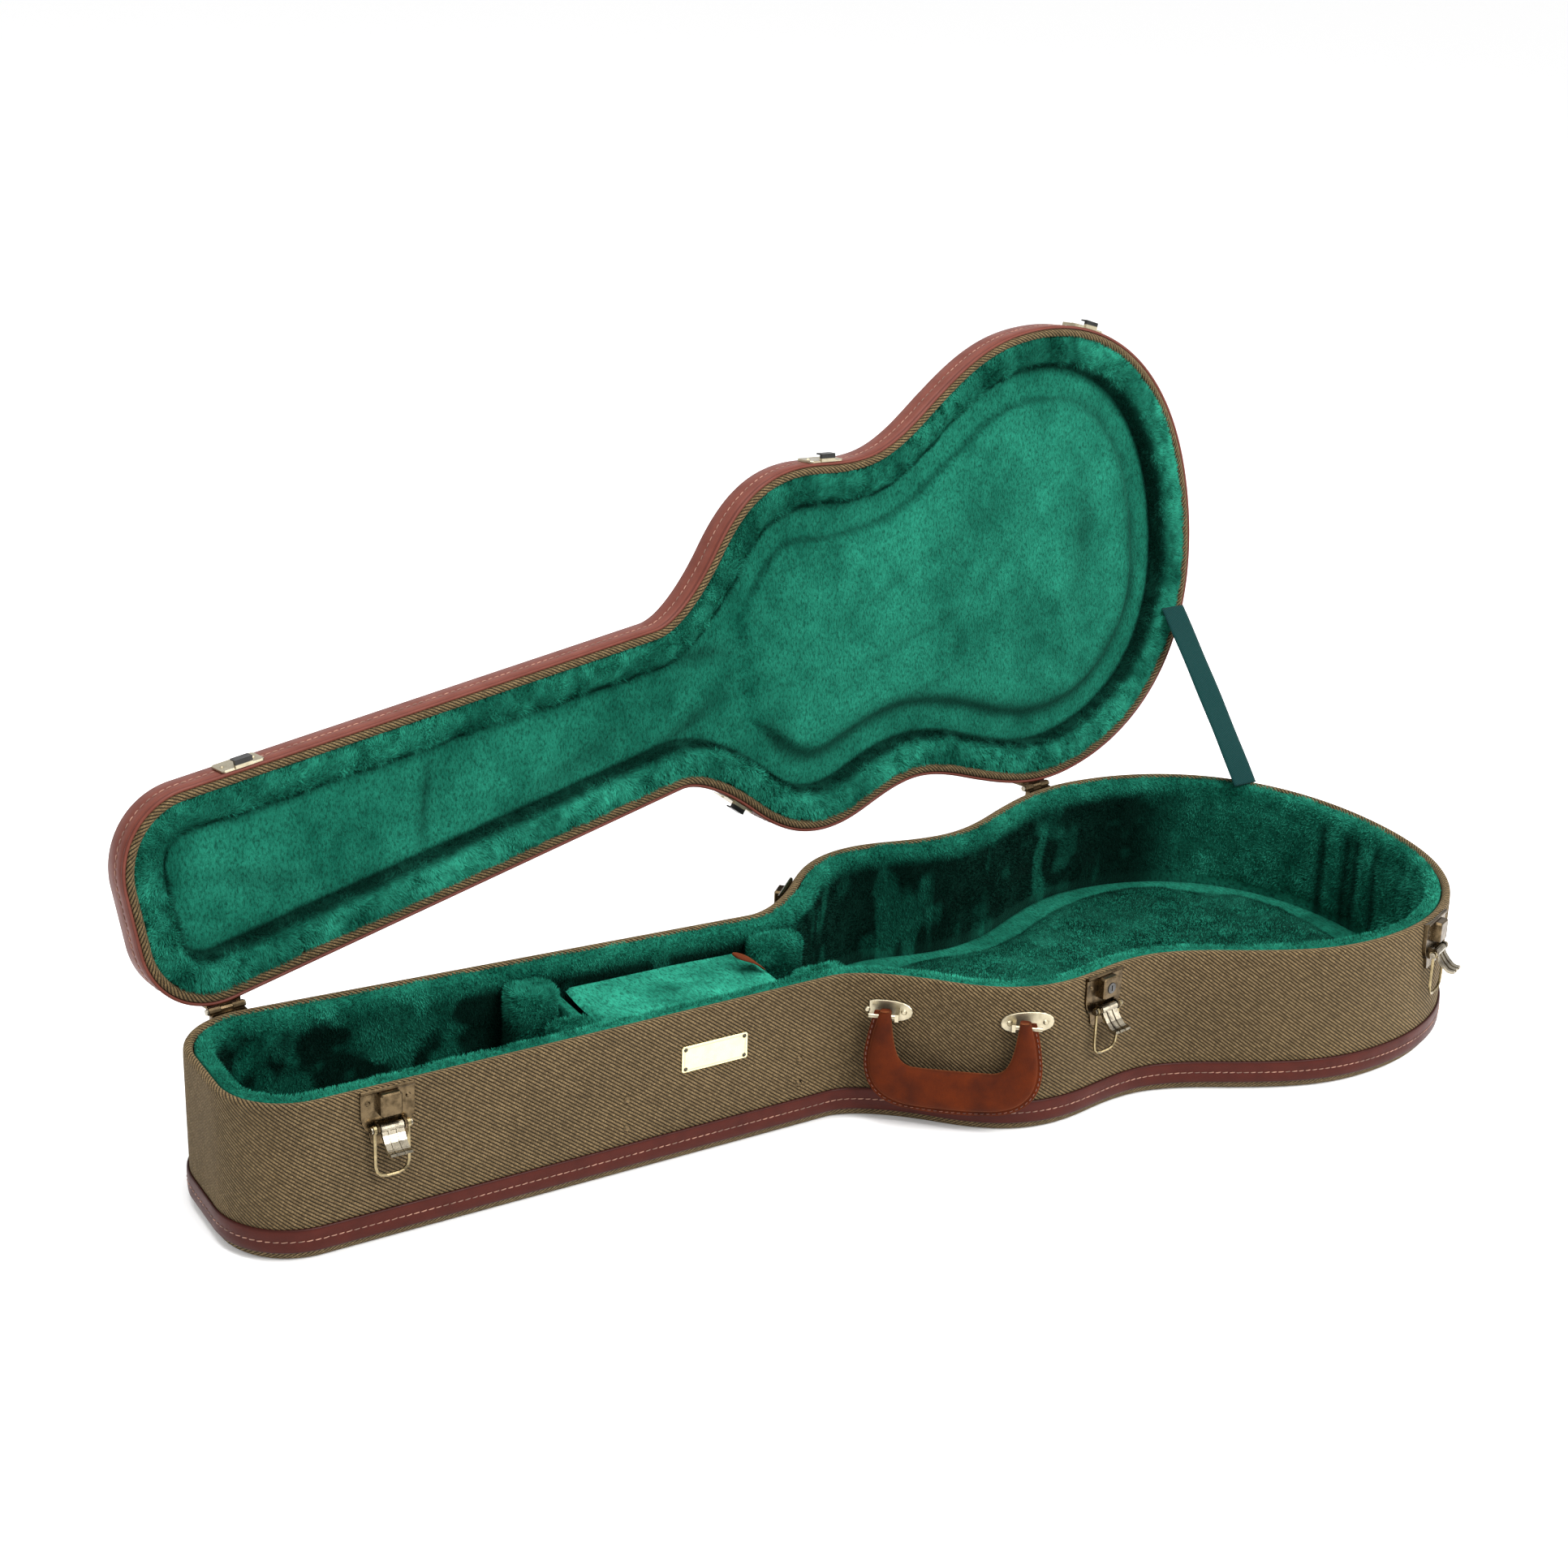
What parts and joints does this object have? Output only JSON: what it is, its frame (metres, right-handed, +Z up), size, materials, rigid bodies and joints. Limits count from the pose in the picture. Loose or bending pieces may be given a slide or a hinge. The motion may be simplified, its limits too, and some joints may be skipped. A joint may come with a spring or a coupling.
{
  "type": "guitar case",
  "caption": "Guitar-shaped hard case in tweed with leather-look binding, plush lining, a hinged lid on a stay strap, draw latches, a carry handle and a lidded accessory box.",
  "frame": {"origin": "middle of the case's length on the centreline of the flat bottom", "axes": "+X from the head end to the tail, +Y toward the hinge side, +Z up"},
  "size_m": [1.0945, 0.4898, 0.5321],
  "materials": {
    "tweed": "twill tweed cloth glued over plywood",
    "leather_band": "stitched leather-look binding",
    "plush": "long-pile green plush over foam",
    "suede": "suede finish",
    "bronze": "antique bronze plated steel",
    "nickel": "bright nickel plate",
    "brass": "pale satin brass",
    "gunmetal": "dark plated steel",
    "webbing": "woven webbing"
  },
  "bodies": {
    "base": {"base_side_wall": "tweed", "base_bottom_panel": "tweed", "base_binding": "leather_band", "base_wall_padding": "plush", "base_floor_padding": "plush", "base_body_pad": "plush", "head_cradle_back": "plush", "head_cradle_front": "plush", "heel_cradle_back": "plush", "heel_cradle_front": "plush", "box_head_partition": "plush", "box_heel_partition": "plush", "nameplate": "brass", "partition_rivet_head_top": "bronze", "partition_rivet_head_low": "bronze", "partition_rivet_heel_top": "bronze", "partition_rivet_heel_low": "bronze", "latch_plate_head": "bronze", "latch_pin_head": "nickel", "latch_plate_waist": "bronze", "latch_pin_waist": "nickel", "latch_plate_tail": "bronze", "latch_pin_tail": "nickel", "latch_plate_back": "bronze", "latch_pin_back": "nickel", "handle_bracket_left": "brass", "handle_bracket_right": "brass", "hinge_base_leaf_head": "bronze", "hinge_pin_head": "nickel", "hinge_base_leaf_tail": "bronze", "hinge_pin_tail": "nickel", "stay_strap": "webbing"},
    "lid": {"lid_catch_head": "gunmetal", "lid_catch_waist": "gunmetal", "lid_catch_tail": "gunmetal", "lid_catch_back": "gunmetal", "hinge_lid_leaf_head": "bronze", "hinge_lid_leaf_tail": "bronze", "lid_side_wall": "tweed", "lid_top_panel": "tweed", "lid_binding": "leather_band", "lid_wall_padding": "plush", "lid_top_padding": "plush", "lid_body_pad": "plush"},
    "accessory_box_lid": {"box_lid": "plush", "box_lid_tab": "suede"},
    "handle": {"handle_grip": "suede"},
    "lock": {"lock_cylinder": "gunmetal"},
    "lever_head": {"latch_lever_head": "nickel"},
    "bail_head": {"latch_bail_head": "brass"},
    "lever_waist": {"latch_lever_waist": "nickel"},
    "bail_waist": {"latch_bail_waist": "brass"},
    "lever_tail": {"latch_lever_tail": "nickel"},
    "bail_tail": {"latch_bail_tail": "brass"},
    "lever_back": {"latch_lever_back": "nickel"},
    "bail_back": {"latch_bail_back": "brass"}
  },
  "joints": [
    {"name": "lid_hinge", "type": "hinge", "parent": "base", "child": "lid", "pos_m": [0.31212, 0.20355, 0.1205], "axis": [-0.9893, -0.146, 0], "range_deg": [-94, 0], "deforming": ["stay_strap"]},
    {"name": "accessory_box_hinge", "type": "hinge", "parent": "base", "child": "accessory_box_lid", "pos_m": [-0.238, 0, 0.101], "axis": [0, -1, 0], "range_deg": [0, 100]},
    {"name": "handle_pivot", "type": "hinge", "parent": "base", "child": "handle", "pos_m": [0.00659, -0.12593, 0.0925], "axis": [-0.7864, 0.6178, 0], "range_deg": [0, 95]},
    {"name": "lever_pivot_head", "type": "hinge", "parent": "base", "child": "lever_head", "pos_m": [-0.42878, -0.08586, 0.092], "axis": [-0.9994, -0.034, 0], "range_deg": [-42, 75]},
    {"name": "bail_pivot_head", "type": "hinge", "parent": "base", "child": "bail_head", "pos_m": [-0.42878, -0.08586, 0.092], "axis": [0.9994, 0.034, 0], "range_deg": [-180, 0]},
    {"name": "lever_pivot_waist", "type": "hinge", "parent": "base", "child": "lever_waist", "pos_m": [0.12634, -0.156, 0.092], "axis": [-0.9786, -0.2058, 0], "range_deg": [-42, 75]},
    {"name": "bail_pivot_waist", "type": "hinge", "parent": "base", "child": "bail_waist", "pos_m": [0.12634, -0.156, 0.092], "axis": [0.9786, 0.2058, 0], "range_deg": [-180, 0]},
    {"name": "lever_pivot_tail", "type": "hinge", "parent": "base", "child": "lever_tail", "pos_m": [0.4339, -0.19052, 0.092], "axis": [-0.8948, -0.4464, 0], "range_deg": [-42, 75]},
    {"name": "bail_pivot_tail", "type": "hinge", "parent": "base", "child": "bail_tail", "pos_m": [0.4339, -0.19052, 0.092], "axis": [0.8948, 0.4464, 0], "range_deg": [-180, 0]},
    {"name": "lever_pivot_back", "type": "hinge", "parent": "base", "child": "lever_back", "pos_m": [-0.01263, 0.10543, 0.092], "axis": [0.7023, 0.7119, 0], "range_deg": [-42, 75]},
    {"name": "bail_pivot_back", "type": "hinge", "parent": "base", "child": "bail_back", "pos_m": [-0.01263, 0.10543, 0.092], "axis": [-0.7023, -0.7119, 0], "range_deg": [-180, 0]},
    {"name": "lock_turn", "type": "hinge", "parent": "base", "child": "lock", "pos_m": [0.12669, -0.15766, 0.1092], "axis": [0.2058, -0.9786, 0], "range_deg": [0, 90]}
  ]
}
